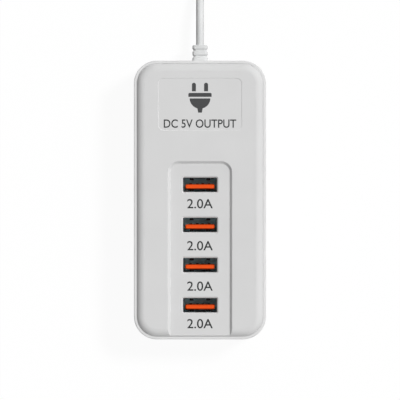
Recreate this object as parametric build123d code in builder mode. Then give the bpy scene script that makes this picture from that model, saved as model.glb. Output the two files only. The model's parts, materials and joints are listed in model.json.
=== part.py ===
from build123d import *
import os
from math import atan, cos, degrees, pi, radians, sin, sqrt, tan

# Desktop charger: a two-part moulded case with a row of upright USB-A ports in a sunken channel,
# the power supply inside it, and a mains cord that leaves the rear wall.
# Millimetres. +Z is up and the case stands on z = 0, centred on the origin. +Y points to the rear.

# Port row and the bays before and behind it
PORT_COUNT = 4
PORT_PITCH = 15.2
PORT_FRONT_MARGIN = 12.9  # front port's centre to the front face
REAR_BAY = 47.0  # rear port's centre to the rear face, the room for the mains side

# Circuit board
BOARD_WIDTH = 42.0
BOARD_T = 1.6
BOARD_STANDOFF = 3.8
BOARD_SIDE_GAP = 1.6
BOARD_POST_GAP = 0.8  # board's edge to a screw post

# Housing halves
CORNER_R = 8.7
BASE_WALL = 2.4
BASE_FLOOR = 2.0
BASE_EDGE_R = 1.2
RIM_DROP = 1.7  # cover's top to the tray's rim
RIM_WIDTH = 1.05
RIM_HEIGHT = 3.0  # above the ledge that the cover stands on
RIM_EDGE_R = 0.3
SEAM_GAP = 0.05
COVER_WALL = 2.0
COVER_TOP = 2.0
COVER_EDGE_R = 3.3

# Sunken port channel, which runs out through the front edge
CHANNEL_WIDTH = 24.5
CHANNEL_WALL = ((0.15, 0.06), (0.83, 1.08), (0.15, 0.06))  # inset and depth of each facet, from the top
CHANNEL_CORNER_R = 4.3
CHANNEL_FRONT_R = 0.6
CHANNEL_LEAD = 9.05  # rear port's centre to the channel's rear edge
CHANNEL_PAD = 1.2  # thickening inside, beyond the channel's edge

# Shallow label recess behind the channel
LABEL_WIDTH = 31.8
LABEL_LENGTH = 20.0
LABEL_CORNER_R = 2.1
LABEL_DEPTH = 0.28
LABEL_SLOPE = 0.7
LABEL_REAR_MARGIN = 6.55

# USB-A receptacle
SHELL_INNER_W = 12.5
SHELL_INNER_H = 5.12
SHELL_T = 0.3
SHELL_CORNER_R = 0.6
RECEPTACLE_H = 14.2
TONGUE_W = 11.1
TONGUE_T = 1.84
TONGUE_GAP = 1.0  # clear of the shell on the side without contacts
TONGUE_RECESS = 0.8
TONGUE_CHAMFER = 0.3
TONGUE_EDGE_R = 0.6
BLOCK_H = 4.0
BLOCK_FIT = 0.1
FINGER_X = 3.15
FINGER_W = 1.5
FINGER_SLIT = 0.35
FINGER_LENGTH = 6.0
FINGER_TOP = 1.2  # mouth to the spring window
FINGER_BEND = 0.8
FINGER_BEND_AT = 1.5  # below the window's top
FINGER_TIP_BEND = 0.15
FINGER_TIP_GAP = 0.4
LEG_W = 2.2
LEG_REACH = 1.0  # below the board
LEG_FIT = 0.2
CONTACT_X = (-3.5, -1.0, 1.0, 3.5)
CONTACT_W = 1.0
CONTACT_T = 0.25
CONTACT_BOW = 0.4
CONTACT_TIP = 1.7  # mouth to the contact's end
CONTACT_BOW_L = 3.4
GROOVE_DEPTH = 0.35
GROOVE_SIDE = 0.15
TAIL_HOLE_R = 0.75

# Port openings in the cover
NOSE_GAP = 0.1  # receptacle mouth to the lip above it
NOSE_FIT = 0.12  # round the receptacle in its pocket
LIP_T = 1.1
LIP_OVERLAP = 0.12  # lip over the shell's edge
OPENING_CORNER_R = 0.4
OPENING_CHAMFER = 0.5

# Screws and posts
SCREW_INSET = 7.6
POST_R = 3.9
POST_HEIGHT = 8.6  # above the tray's floor
BOSS_R = 3.3
SCREW_SINK = 5.0  # underside to the head's seat
COUNTERBORE_R = 3.0
SCREW_HOLE_R = 1.65
HEAD_R = 2.6
HEAD_H = 1.9
HEAD_EDGE_R = 0.6
CROSS_L = 3.0
CROSS_W = 0.7
CROSS_DEPTH = 1.1
SCREW_CORE_R = 1.2
SCREW_LENGTH = 14.0
SCREW_TIP = 0.5
PILOT_FIT = 0.05
PILOT_SPARE = 1.0

# Board posts with locating pegs
PEG_POST_R = 2.8
PEG_R = 1.25
PEG_FIT = 0.15
PEG_PROUD = 1.2
PEG_SIDE_INSET = 3.2
PEG_REAR_INSET = 4.0
PEG_FRONT_INSET = 6.9  # from the notch round a screw post

# Strain relief, moulded on the cord
RELIEF_HEIGHT = 9.0
RELIEF_RING_SIZE = 5.8
RELIEF_CORE_SIZE = 5.0
RELIEF_CORNER_R = 1.1
RELIEF_NECK_R = 2.3
RELIEF_RINGS = 3
RELIEF_RING_W = 1.7
RELIEF_GROOVE_W = 0.6
RELIEF_CHAMFER = 0.35
RELIEF_FLANGE_R = 3.3
RELIEF_FLANGE_T = 1.6
RELIEF_FIT = 0.1
RELIEF_NOSE_R = 1.8
RELIEF_NOSE_L = 1.5

# Wires from the strain relief to the board
WIRE_R = 0.65
WIRE_SPACING = 1.7
WIRE_PAD_SPACING = 3.2
WIRE_PAD_INSET = 2.2
WIRE_ARCH = 3.0  # above the board
WIRE_BEND_R = 1.2

# Transformer
CORE_WIDTH = 19.0
CORE_LENGTH = 16.0
CORE_DEPTH = 4.9
CORE_LEG = 2.4
CORE_CENTRE_LEG = 4.8
CORE_AIR_GAP = 0.1
BOBBIN_WALL = 0.8
BOBBIN_FIT = 0.15
BOBBIN_WIDTH = 13.0
BOBBIN_HEADROOM = 1.2
BOBBIN_RAIL_W = 16.0
BOBBIN_RAIL_L = 2.6
BOBBIN_RAIL_H = 3.0
WINDING_INSET = 0.4
WINDING_FIT = 0.1
WINDING_CORNER_R = 2.0
TRANSFORMER_SIDE = 12.5  # board's right edge to the transformer's centre
TRANSFORMER_REAR = 20.6  # board's rear edge to the transformer's centre

# Electrolytic capacitors
BULK_R = 5.5
BULK_LENGTH = 18.0
BULK_SIDE = 6.7
BULK_REAR = 14.0
BULK_LIFT = 0.15
OUTPUT_CAN_R = 4.0
OUTPUT_CAN_H = 11.0
OUTPUT_CAN_SIDE = 6.5
OUTPUT_CAN_COUNT = 3
OUTPUT_CAN_PITCH = 10.0
OUTPUT_CAN_LEAD = 7.5  # rear port's centre to the first can
CAN_EDGE_R = 0.7
CAN_GROOVE = 0.4
CAN_GROOVE_W = 0.8
CAN_GROOVE_AT = 1.8
LEAD_R = 0.4
LEAD_SPACING = 5.0
LEAD_REACH = 1.8
LEAD_BEND_R = 0.9

# Other mains parts
X_CAP_SIZE = (11.0, 5.0, 10.0)
X_CAP_EDGE_R = 0.6
X_CAP_SIDE = 10.8
X_CAP_REAR = 4.6
FUSE_R = 3.6
FUSE_H = 8.0
FUSE_EDGE_R = 0.5
FUSE_GAP = 0.3  # to the choke beside it
FUSE_REAR = 8.4
CHOKE_FLANGE_R = 4.5
CHOKE_FLANGE_T = 1.4
CHOKE_H = 9.5
CHOKE_HUB_R = 2.2
CHOKE_WINDING_R = 4.1
CHOKE_FIT = 0.1
CHOKE_SIDE = 9.4
CHOKE_REAR = 6.6
Y_CAP_R = 3.8
Y_CAP_T = 3.2
Y_CAP_EDGE_R = 1.0
Y_CAP_LIFT = 1.0
Y_CAP_SIDE = 8.0
Y_CAP_LEAD = 2.5  # behind the rear port's centre

# Chip packages: width across the leads, length along them, height
CHIP_LIFT = 0.15
CHIP_DRAFT = 7.0
CHIP_LEAD_T = 0.2
CHIP_LEAD_W = 0.5
CHIP_LEAD_REACH = 1.1
CHIP_FOOT = 0.6
BRIDGE_SIZE = (3.9, 4.7, 2.5)
BRIDGE_LEAD_COUNT = 2  # on either side
BRIDGE_LEAD_PITCH = 2.5
BRIDGE_SIDE = 12.5
BRIDGE_REAR = 9.6
CONTROLLER_SIZE = (3.9, 4.9, 1.5)
CONTROLLER_LEAD_COUNT = 4
CONTROLLER_LEAD_PITCH = 1.27
CONTROLLER_X = -4.9
CONTROLLER_REAR = 18.0
OPTO_SIZE = (4.4, 4.6, 3.4)
OPTO_LEAD_COUNT = 2
OPTO_LEAD_PITCH = 2.54
OPTO_X = -4.9
OPTO_REAR = 26.0
PORT_CHIP_SIZE = (2.9, 2.9, 1.2)
PORT_CHIP_LEAD_COUNT = 3
PORT_CHIP_LEAD_PITCH = 0.95
PORT_CHIP_X = -10.6

# Output rectifier, lying flat on its tab
RECTIFIER_WIDTH = 10.0
RECTIFIER_BODY_L = 9.0
RECTIFIER_BODY_T = 4.4
RECTIFIER_TAB_L = 6.4
RECTIFIER_TAB_T = 1.3
RECTIFIER_TAB_HOLE_R = 1.8
RECTIFIER_EDGE = 0.5
RECTIFIER_LEAD_W = 0.9
RECTIFIER_LEAD_T = 0.5
RECTIFIER_LEAD_L = 4.0
RECTIFIER_LEAD_PITCH = 2.54
RECTIFIER_LEAD_Z = 2.4
RECTIFIER_SIDE = 7.5
RECTIFIER_PORT_INDEX = 2  # its body starts beside this port, counted from 0 at the rear

# Cord, coil and tie
CORD_R = 1.5
BEND_SHARE = 0.45  # part of the shorter run beside it that a bend takes up
LEAD_LEVEL = 7.0  # straight out of the strain relief
LEAD_SAG = ((14.0, 0.22), (24.0, 0.78))  # distance from the strain relief, share of the drop
LEAD_ARRIVAL = 8.0  # straight run before the coil's own straight cord
COIL_X = 2.1
COIL_REAR = 68.45  # rear face to the coil's centre
COIL_TURN_R = 22.5  # outermost turn's centre line
COIL_INNER_R = 11.7
COIL_MARGIN = 0.2  # ring's skin outside the cord's own surface
COIL_HEIGHT = 12.0
COIL_LOWER_R = 1.4
COIL_UPPER_R = 3.0
COIL_ENTRY_DEG = -45.0
COIL_EXIT_DEG = 30.0
COIL_STUB = 13.0  # straight cord at either end of the coil
TAIL_DEPARTURE = 5.5  # straight run after the coil's own straight cord
TAIL_SAG = ((17.3, 0.27), (10.6, 0.8))  # distance from the plug, share of the drop
TAIL_LEVEL = 5.0  # straight into the plug
TIE_T = 0.55
TIE_W = 6.0
TIE_FIT = 0.1
TIE_CORNER_R = 1.0

# Two-pin plug
PLUG_X = 10.3
PLUG_REAR = 51.4  # coil's centre to the plug's tail
PLUG_TAIL_L = 12.0
PLUG_TAIL_REAR_R = 2.8
PLUG_TAIL_FRONT_R = 4.0
PLUG_TAIL_RIBS = 4
PLUG_TAIL_GROOVE = 0.7
PLUG_BODY_L = 30.0
PLUG_REAR_SIZE = (13.0, 9.0, 4.0)
PLUG_GRIP_SIZE = (25.0, 10.5, 4.5)
PLUG_GRIP_AT = 14.0
PLUG_FACE_SIZE = (35.3, 13.7, 6.0)
PLUG_COLLAR_L = 7.0
PLUG_REST = 0.05
PIN_SPACING = 18.6  # at the face
PIN_TIP_SPACING = 17.5
PIN_LENGTH = 19.0
PIN_TIP_R = 2.0
PIN_CORE_R = 1.4
PIN_ROOT = 8.0
PIN_NOSE_R = 1.2
PIN_FIT = 0.05
SLEEVE_LENGTH = 10.0
SLEEVE_R = 1.8
SLEEVE_START = 0.1

# Sizes of the case that follow from the sizes above
body_length = REAR_BAY + (PORT_COUNT - 1) * PORT_PITCH + PORT_FRONT_MARGIN
body_width = BOARD_WIDTH + 2 * (BOARD_SIDE_GAP + BASE_WALL)
rear_y = body_length / 2
front_y = -rear_y
rear_port_y = rear_y - REAR_BAY
port_ys = [rear_port_y - PORT_PITCH * i for i in range(PORT_COUNT)]

board_z = BASE_FLOOR + BOARD_STANDOFF
board_top = board_z + BOARD_T
mouth_z = board_top + RECEPTACLE_H
lip_z = mouth_z + NOSE_GAP
panel_z = lip_z + LIP_T
panel_inside_z = panel_z - COVER_TOP
channel_slope = sum(inset for inset, depth in CHANNEL_WALL)
channel_depth = sum(depth for inset, depth in CHANNEL_WALL)
body_height = panel_z + channel_depth
roof_inside_z = body_height - COVER_TOP
rim_z = body_height - RIM_DROP
ledge_z = rim_z - RIM_HEIGHT
post_top_z = BASE_FLOOR + POST_HEIGHT

cover_inset = RIM_WIDTH + SEAM_GAP
cover_width = body_width - 2 * cover_inset
cover_length = body_length - 2 * cover_inset
cover_corner_r = CORNER_R - cover_inset
dome_margin = COVER_EDGE_R - sqrt(COVER_EDGE_R**2 - (COVER_EDGE_R - RIM_DROP) ** 2)
hollow_width = cover_width - 2 * COVER_WALL
hollow_length = cover_length - 2 * COVER_WALL
hollow_corner_r = cover_corner_r - COVER_WALL
tray_inside_y = rear_y - BASE_WALL

screw_x = body_width / 2 - SCREW_INSET
screw_y = rear_y - SCREW_INSET
screw_points = [(x, y) for x in (-screw_x, screw_x) for y in (-screw_y, screw_y)]

board_rear = screw_y - POST_R - BOARD_POST_GAP
board_front = -tray_inside_y + BOARD_SIDE_GAP
board_side = BOARD_WIDTH / 2
peg_x = board_side - PEG_SIDE_INSET
peg_rear_y = board_rear - PEG_REAR_INSET
notch_rear_y = POST_R + BOARD_POST_GAP - screw_y
peg_front_y = notch_rear_y + PEG_FRONT_INSET
peg_points = [(x, y) for x in (-peg_x, peg_x) for y in (peg_rear_y, peg_front_y)]

shell_width = SHELL_INNER_W + 2 * SHELL_T
shell_height = SHELL_INNER_H + 2 * SHELL_T
tongue_y = TONGUE_GAP + TONGUE_T / 2 - SHELL_INNER_H / 2
tongue_face_y = tongue_y + TONGUE_T / 2
groove_floor_y = tongue_face_y - GROOVE_DEPTH
leg_x = (SHELL_INNER_W + SHELL_T) / 2

relief_reach = RELIEF_RINGS * RELIEF_RING_W + (RELIEF_RINGS - 1) * RELIEF_GROOVE_W
relief_tip_y = rear_y + relief_reach
relief_flange_y = tray_inside_y - RELIEF_FLANGE_T
relief_nose_y = relief_flange_y - RELIEF_NOSE_L


def save(part, name):
    """Label a finished piece and write it as its own file."""
    part.label = name
    export_step(part, f"parts/{name}.step")


def bend_radii(points):
    """Largest tangent arc at each inner point of a route, from its shorter run and its turn."""
    vectors = [Vector(*point) for point in points]
    runs = [after - before for before, after in zip(vectors, vectors[1:])]
    radii = []
    for before, after in zip(runs, runs[1:]):
        half_turn = radians(before.get_angle(after)) / 2
        radii.append(BEND_SHARE * min(before.length, after.length) / tan(half_turn))
    return radii


def save_tube(name, points, radii, tube_r):
    """Round tube along straight runs joined by tangent arcs."""
    with BuildPart() as tube:
        with BuildLine() as route:
            FilletPolyline(*points, radius=radii)
        with BuildSketch(Plane(route.line @ 0, z_dir=route.line % 0)):
            Circle(tube_r)
        sweep(path=route.line)
    save(tube.part, name)
    route_length = sum(edge.length for edge in route.edges())
    return tube.part.volume / (pi * tube_r**2 * route_length)


os.makedirs("parts", exist_ok=True)

# Base tray: floor, wall with a stepped rim, screw posts, board posts with pegs, cord hole
with BuildPart() as base_tray:
    with BuildSketch():
        RectangleRounded(body_width, body_length, CORNER_R)
    extrude(amount=rim_z)
    fillet(base_tray.faces().sort_by(Axis.Z)[0].edges(), BASE_EDGE_R)
    fillet(base_tray.faces().sort_by(Axis.Z)[-1].edges(), min(RIM_EDGE_R, RIM_WIDTH / 2))
    with BuildSketch(Plane.XY.offset(ledge_z)):
        RectangleRounded(body_width - 2 * RIM_WIDTH, body_length - 2 * RIM_WIDTH, CORNER_R - RIM_WIDTH)
    extrude(amount=RIM_HEIGHT, mode=Mode.SUBTRACT)
    with BuildSketch(Plane.XY.offset(BASE_FLOOR)):
        RectangleRounded(body_width - 2 * BASE_WALL, 2 * tray_inside_y, CORNER_R - BASE_WALL)
    extrude(amount=ledge_z - BASE_FLOOR, mode=Mode.SUBTRACT)
    with BuildSketch(Plane.XY.offset(BASE_FLOOR)):
        with Locations(*screw_points):
            Circle(POST_R)
    extrude(amount=POST_HEIGHT)
    with BuildSketch(Plane.XY.offset(BASE_FLOOR)):
        with Locations(*peg_points):
            Circle(PEG_POST_R)
    extrude(amount=BOARD_STANDOFF)
    with BuildSketch(Plane.XY.offset(board_z)):
        with Locations(*peg_points):
            Circle(PEG_R)
    extrude(amount=BOARD_T + PEG_PROUD)
    with Locations(Plane.XY.rotated((180, 0, 0))):
        with Locations(*screw_points):
            CounterBoreHole(SCREW_HOLE_R, COUNTERBORE_R, SCREW_SINK, post_top_z)
    with BuildSketch(Plane((0, rear_y, RELIEF_HEIGHT), x_dir=(1, 0, 0), z_dir=(0, 1, 0))):
        Circle(RELIEF_NECK_R + RELIEF_FIT)
    extrude(amount=-BASE_WALL, mode=Mode.SUBTRACT)
save(base_tray.part, "base_tray")

# Top cover: domed edge that ends at the rim, port channel, label recess, port openings, screw bosses
channel_rear_y = rear_port_y + CHANNEL_LEAD
channel_front_y = front_y - CHANNEL_CORNER_R - channel_slope
channel_length = channel_rear_y - channel_front_y
channel_middle = (0, (channel_rear_y + channel_front_y) / 2)
pad_rear_y = channel_rear_y + CHANNEL_PAD
opening_width = shell_width - 2 * LIP_OVERLAP
opening_height = shell_height - 2 * LIP_OVERLAP
port_points = [(0, y) for y in port_ys]
with BuildPart() as top_cover:
    with BuildSketch(Plane.XY.offset(ledge_z)):
        RectangleRounded(
            cover_width + 2 * dome_margin, cover_length + 2 * dome_margin, cover_corner_r + dome_margin
        )
    extrude(amount=body_height - ledge_z)
    fillet(top_cover.faces().sort_by(Axis.Z)[-1].edges(), COVER_EDGE_R)
    with BuildSketch(Plane.XY.offset(ledge_z)):
        RectangleRounded(cover_width, cover_length, cover_corner_r)
    extrude(amount=body_height - ledge_z, mode=Mode.INTERSECT)
    with BuildSketch(Plane.XY.offset(ledge_z)):
        RectangleRounded(hollow_width, hollow_length, hollow_corner_r)
    extrude(amount=panel_inside_z - ledge_z, mode=Mode.SUBTRACT)
    with BuildSketch(Plane.XY.offset(panel_inside_z)):
        RectangleRounded(hollow_width, hollow_length, hollow_corner_r)
        with Locations((0, (pad_rear_y + front_y) / 2)):
            Rectangle(CHANNEL_WIDTH + 2 * CHANNEL_PAD, pad_rear_y - front_y, mode=Mode.SUBTRACT)
    extrude(amount=channel_depth, mode=Mode.SUBTRACT)
    with BuildSketch(Plane.XY.offset(post_top_z)):
        with Locations(*screw_points):
            Circle(BOSS_R)
    extrude(amount=roof_inside_z - post_top_z)
    with BuildSketch(Plane.XY.offset(post_top_z)):
        with Locations(*screw_points):
            Circle(SCREW_CORE_R + PILOT_FIT)
    extrude(amount=SCREW_SINK + SCREW_LENGTH + PILOT_SPARE - post_top_z, mode=Mode.SUBTRACT)
    facet_inset = 0
    facet_z = body_height
    for inset, depth in CHANNEL_WALL:
        with BuildSketch(Plane.XY.offset(facet_z)):
            with Locations(channel_middle):
                RectangleRounded(
                    CHANNEL_WIDTH - 2 * facet_inset,
                    channel_length - 2 * facet_inset,
                    CHANNEL_CORNER_R - facet_inset,
                )
        extrude(amount=-depth, taper=degrees(atan(inset / depth)), mode=Mode.SUBTRACT)
        facet_inset += inset
        facet_z -= depth
    levels = top_cover.faces().filter_by(Axis.Z)
    floor = levels.sort_by(lambda face: abs(face.center().Z - panel_z))[0]
    fillet(floor.edges().sort_by(Axis.Y)[0], CHANNEL_FRONT_R)
    with BuildSketch(Plane.XY.offset(body_height)):
        with Locations((0, rear_y - LABEL_REAR_MARGIN - LABEL_LENGTH / 2)):
            RectangleRounded(LABEL_WIDTH, LABEL_LENGTH, LABEL_CORNER_R)
    extrude(amount=-LABEL_DEPTH, taper=degrees(atan(LABEL_SLOPE / LABEL_DEPTH)), mode=Mode.SUBTRACT)
    with BuildSketch(Plane.XY.offset(panel_inside_z)):
        with Locations(*port_points):
            RectangleRounded(shell_width + 2 * NOSE_FIT, shell_height + 2 * NOSE_FIT, SHELL_CORNER_R)
    extrude(amount=lip_z - panel_inside_z, mode=Mode.SUBTRACT)
    with BuildSketch(Plane.XY.offset(lip_z)):
        with Locations(*port_points):
            RectangleRounded(opening_width, opening_height, OPENING_CORNER_R)
    extrude(amount=LIP_T, mode=Mode.SUBTRACT)
    levels = top_cover.faces().filter_by(Axis.Z)
    floor = levels.sort_by(lambda face: abs(face.center().Z - panel_z))[0]
    chamfer([edge for wire in floor.inner_wires() for edge in wire.edges()], OPENING_CHAMFER)
save(top_cover.part, "top_cover")

# Screws that hold the halves together, driven from below
head_z = SCREW_SINK - HEAD_H
with BuildPart() as case_screws:
    with BuildSketch(Plane.XY.offset(head_z)):
        with Locations(*screw_points):
            Circle(HEAD_R)
    extrude(amount=HEAD_H)
    fillet(case_screws.faces().filter_by(Axis.Z).group_by(Axis.Z)[0].edges(), HEAD_EDGE_R)
    with BuildSketch(Plane.XY.offset(head_z)):
        with Locations(*screw_points):
            Rectangle(CROSS_L, CROSS_W)
            Rectangle(CROSS_W, CROSS_L)
    extrude(amount=CROSS_DEPTH, mode=Mode.SUBTRACT)
    with BuildSketch(Plane.XY.offset(SCREW_SINK)):
        with Locations(*screw_points):
            Circle(SCREW_CORE_R)
    extrude(amount=SCREW_LENGTH)
    chamfer(case_screws.faces().filter_by(Axis.Z).group_by(Axis.Z)[-1].edges(), SCREW_TIP)
save(case_screws.part, "case_screws")

# Circuit board: notched round the front screw posts, with holes for pegs, legs and contact tails
notch_width = BOARD_WIDTH / 2 - screw_x + POST_R + BOARD_POST_GAP
tail_y = groove_floor_y + CONTACT_T / 2
tail_points = [(x, y + tail_y) for x in CONTACT_X for y in port_ys]
leg_points = [(x, y) for x in (-leg_x, leg_x) for y in port_ys]
with BuildPart() as circuit_board:
    with BuildSketch(Plane.XY.offset(board_z)):
        with Locations((0, (board_rear + board_front) / 2)):
            Rectangle(BOARD_WIDTH, board_rear - board_front)
        with Locations(*[(x, board_front) for x in (-BOARD_WIDTH / 2, BOARD_WIDTH / 2)]):
            Rectangle(2 * notch_width, 2 * (notch_rear_y - board_front), mode=Mode.SUBTRACT)
        with Locations(*peg_points):
            Circle(PEG_R + PEG_FIT, mode=Mode.SUBTRACT)
        with Locations(*tail_points):
            Circle(TAIL_HOLE_R, mode=Mode.SUBTRACT)
        with Locations(*leg_points):
            Rectangle(SHELL_T + 2 * LEG_FIT, LEG_W + 2 * LEG_FIT, mode=Mode.SUBTRACT)
    extrude(amount=BOARD_T)
save(circuit_board.part, "circuit_board")

# USB-A receptacles
window_top = mouth_z - FINGER_TOP
window_foot = window_top - FINGER_LENGTH
contact_foot = board_z - LEG_REACH
contact_end = mouth_z - CONTACT_TIP
bow_start = contact_end - CONTACT_BOW_L
bow_peak = (bow_start + contact_end) / 2
for number, port_y in enumerate(port_ys, start=1):
    # Folded shell: open tube with two spring fingers in each broad side and two board legs
    with BuildPart() as usb_shell:
        with BuildSketch(Plane.XY.offset(board_top)):
            with Locations((0, port_y)):
                RectangleRounded(shell_width, shell_height, SHELL_CORNER_R)
                RectangleRounded(SHELL_INNER_W, SHELL_INNER_H, SHELL_CORNER_R - SHELL_T, mode=Mode.SUBTRACT)
        extrude(amount=RECEPTACLE_H)
        with BuildSketch(Plane.XZ.offset(-port_y)):
            with Locations(*[(x, (window_top + window_foot) / 2) for x in (-FINGER_X, FINGER_X)]):
                Rectangle(FINGER_W + 2 * FINGER_SLIT, FINGER_LENGTH)
        extrude(amount=shell_height, both=True, mode=Mode.SUBTRACT)
        for side in (-1, 1):
            outer_y = port_y + side * shell_height / 2
            inner_y = port_y + side * SHELL_INNER_H / 2
            bend = side * FINGER_BEND
            tip_bend = side * FINGER_TIP_BEND
            for x in (-FINGER_X, FINGER_X):
                with BuildSketch(Plane.YZ.offset(x)):
                    with BuildLine():
                        Polyline(
                            (outer_y, window_foot),
                            (outer_y - bend, window_top - FINGER_BEND_AT),
                            (outer_y - tip_bend, window_top - FINGER_TIP_GAP),
                            (inner_y - tip_bend, window_top - FINGER_TIP_GAP),
                            (inner_y - bend, window_top - FINGER_BEND_AT),
                            (inner_y, window_foot),
                            close=True,
                        )
                    make_face()
                extrude(amount=FINGER_W / 2, both=True)
        with BuildSketch(Plane.XY.offset(board_top)):
            with Locations(*[(x, port_y) for x in (-leg_x, leg_x)]):
                Rectangle(SHELL_T, LEG_W)
        extrude(amount=-BOARD_T - LEG_REACH)
    save(usb_shell.part, f"usb_shell_{number}")

    # Insulator: block at the foot and the tongue, with a groove for each contact
    with BuildPart() as usb_insulator:
        with BuildSketch(Plane.XY.offset(board_top)):
            with Locations((0, port_y + tongue_y)):
                RectangleRounded(TONGUE_W, TONGUE_T, TONGUE_EDGE_R)
        extrude(amount=RECEPTACLE_H - TONGUE_RECESS)
        chamfer(usb_insulator.faces().sort_by(Axis.Z)[-1].edges(), TONGUE_CHAMFER)
        with BuildSketch(Plane.XY.offset(board_top)):
            with Locations((0, port_y)):
                Rectangle(SHELL_INNER_W - 2 * BLOCK_FIT, SHELL_INNER_H - 2 * BLOCK_FIT)
        extrude(amount=BLOCK_H)
        with BuildSketch(Plane.XY.offset(board_top)):
            with Locations(*[(x, port_y + tongue_face_y - GROOVE_DEPTH / 2) for x in CONTACT_X]):
                Rectangle(CONTACT_W + 2 * GROOVE_SIDE, GROOVE_DEPTH)
        extrude(amount=RECEPTACLE_H, mode=Mode.SUBTRACT)
    save(usb_insulator.part, f"usb_insulator_{number}")

    # Contacts: strips that lie in the grooves, bow out near the mouth and end below the board
    back_y = port_y + groove_floor_y
    face_y = back_y + CONTACT_T
    with BuildPart() as usb_contacts:
        for x in CONTACT_X:
            with BuildSketch(Plane.YZ.offset(x)):
                with BuildLine():
                    Polyline(
                        (back_y, contact_foot),
                        (back_y, bow_start),
                        (back_y + CONTACT_BOW, bow_peak),
                        (back_y, contact_end),
                        (face_y, contact_end),
                        (face_y + CONTACT_BOW, bow_peak),
                        (face_y, bow_start),
                        (face_y, contact_foot),
                        close=True,
                    )
                make_face()
            extrude(amount=CONTACT_W / 2, both=True)
    save(usb_contacts.part, f"usb_contacts_{number}")

# Strain relief: inner nose and flange, neck in the wall, squarish rings outside
with BuildPart() as strain_relief:
    with BuildSketch(Plane.YZ):
        with BuildLine():
            Polyline(
                (relief_nose_y, RELIEF_HEIGHT),
                (relief_nose_y, RELIEF_HEIGHT + RELIEF_NOSE_R),
                (relief_flange_y, RELIEF_HEIGHT + RELIEF_NOSE_R),
                (relief_flange_y, RELIEF_HEIGHT + RELIEF_FLANGE_R),
                (tray_inside_y, RELIEF_HEIGHT + RELIEF_FLANGE_R),
                (tray_inside_y, RELIEF_HEIGHT + RELIEF_NECK_R),
                (rear_y, RELIEF_HEIGHT + RELIEF_NECK_R),
                (rear_y, RELIEF_HEIGHT),
                close=True,
            )
        make_face()
    revolve(axis=Axis((0, 0, RELIEF_HEIGHT), (0, 1, 0)))
    outer_end = Plane((0, rear_y, RELIEF_HEIGHT), x_dir=(1, 0, 0), z_dir=(0, 1, 0))
    with BuildSketch(outer_end):
        RectangleRounded(RELIEF_CORE_SIZE, RELIEF_CORE_SIZE, RELIEF_CORNER_R)
    extrude(amount=relief_reach)
    for ring in range(RELIEF_RINGS):
        with BuildSketch(outer_end.offset(ring * (RELIEF_RING_W + RELIEF_GROOVE_W))):
            RectangleRounded(RELIEF_RING_SIZE, RELIEF_RING_SIZE, RELIEF_CORNER_R)
        extrude(amount=RELIEF_RING_W)
    ends = strain_relief.faces().filter_by(Axis.Y)
    ring_ends = ends.filter_by(lambda face: face.center().Y > rear_y + RELIEF_FIT)
    chamfer([edge for face in ring_ends for edge in face.outer_wire().edges()], RELIEF_CHAMFER)
save(strain_relief.part, "strain_relief")

# Live and neutral wires: out of the strain relief, over the board's edge and down to their pads
pad_y = board_rear - WIRE_PAD_INSET
arch_z = board_top + WIRE_ARCH
for name, side in (("live_wire", -1), ("neutral_wire", 1)):
    start_x = side * WIRE_SPACING / 2
    pad_x = side * WIRE_PAD_SPACING / 2
    wire_route = [
        (start_x, relief_nose_y, RELIEF_HEIGHT),
        (start_x, (relief_nose_y + board_rear) / 2, RELIEF_HEIGHT),
        (pad_x, board_rear, arch_z),
        (pad_x, pad_y, arch_z),
        (pad_x, pad_y, board_top),
    ]
    save_tube(name, wire_route, WIRE_BEND_R, WIRE_R)

# Transformer: two core halves with an air gap, bobbin on two rails, taped winding
transformer_x = board_side - TRANSFORMER_SIDE
transformer_y = board_rear - TRANSFORMER_REAR
bobbin_height = panel_inside_z - BOBBIN_HEADROOM - board_top
core_z = board_top + bobbin_height / 2
core_half = CORE_LENGTH / 2
window_half = core_half - CORE_LEG
with BuildPart() as transformer_core:
    for side in (-1, 1):
        with BuildSketch(Plane.XY.offset(core_z - CORE_DEPTH / 2)):
            with Locations((transformer_x, transformer_y + side * (core_half + CORE_AIR_GAP) / 2)):
                Rectangle(CORE_WIDTH, core_half)
            for leg in (-1, 1):
                window_width = (CORE_WIDTH - CORE_CENTRE_LEG) / 2 - CORE_LEG
                window_x = transformer_x + leg * (CORE_CENTRE_LEG + window_width) / 2
                with Locations((window_x, transformer_y)):
                    Rectangle(window_width, 2 * window_half + CORE_AIR_GAP, mode=Mode.SUBTRACT)
        extrude(amount=CORE_DEPTH)
save(transformer_core.part, "transformer_core")

tube_width = CORE_CENTRE_LEG + 2 * (BOBBIN_FIT + BOBBIN_WALL)
tube_height = CORE_DEPTH + 2 * (BOBBIN_FIT + BOBBIN_WALL)
bobbin_half = window_half - BOBBIN_FIT
bobbin_plane = Plane((transformer_x, transformer_y, core_z), x_dir=(1, 0, 0), z_dir=(0, -1, 0))
rail_reach = bobbin_half + BOBBIN_RAIL_L / 2
with BuildPart() as transformer_bobbin:
    with BuildSketch(bobbin_plane):
        Rectangle(tube_width, tube_height)
    extrude(amount=bobbin_half, both=True)
    for side in (-1, 1):
        with BuildSketch(bobbin_plane.offset(side * bobbin_half)):
            Rectangle(BOBBIN_WIDTH, bobbin_height)
        extrude(amount=-side * BOBBIN_WALL)
    with BuildSketch(Plane.XY.offset(board_top)):
        with Locations(*[(transformer_x, transformer_y + side * rail_reach) for side in (-1, 1)]):
            Rectangle(BOBBIN_RAIL_W, BOBBIN_RAIL_L)
    extrude(amount=BOBBIN_RAIL_H)
    with BuildSketch(bobbin_plane):
        Rectangle(CORE_CENTRE_LEG + 2 * BOBBIN_FIT, CORE_DEPTH + 2 * BOBBIN_FIT)
    extrude(amount=core_half, both=True, mode=Mode.SUBTRACT)
save(transformer_bobbin.part, "transformer_bobbin")

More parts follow.
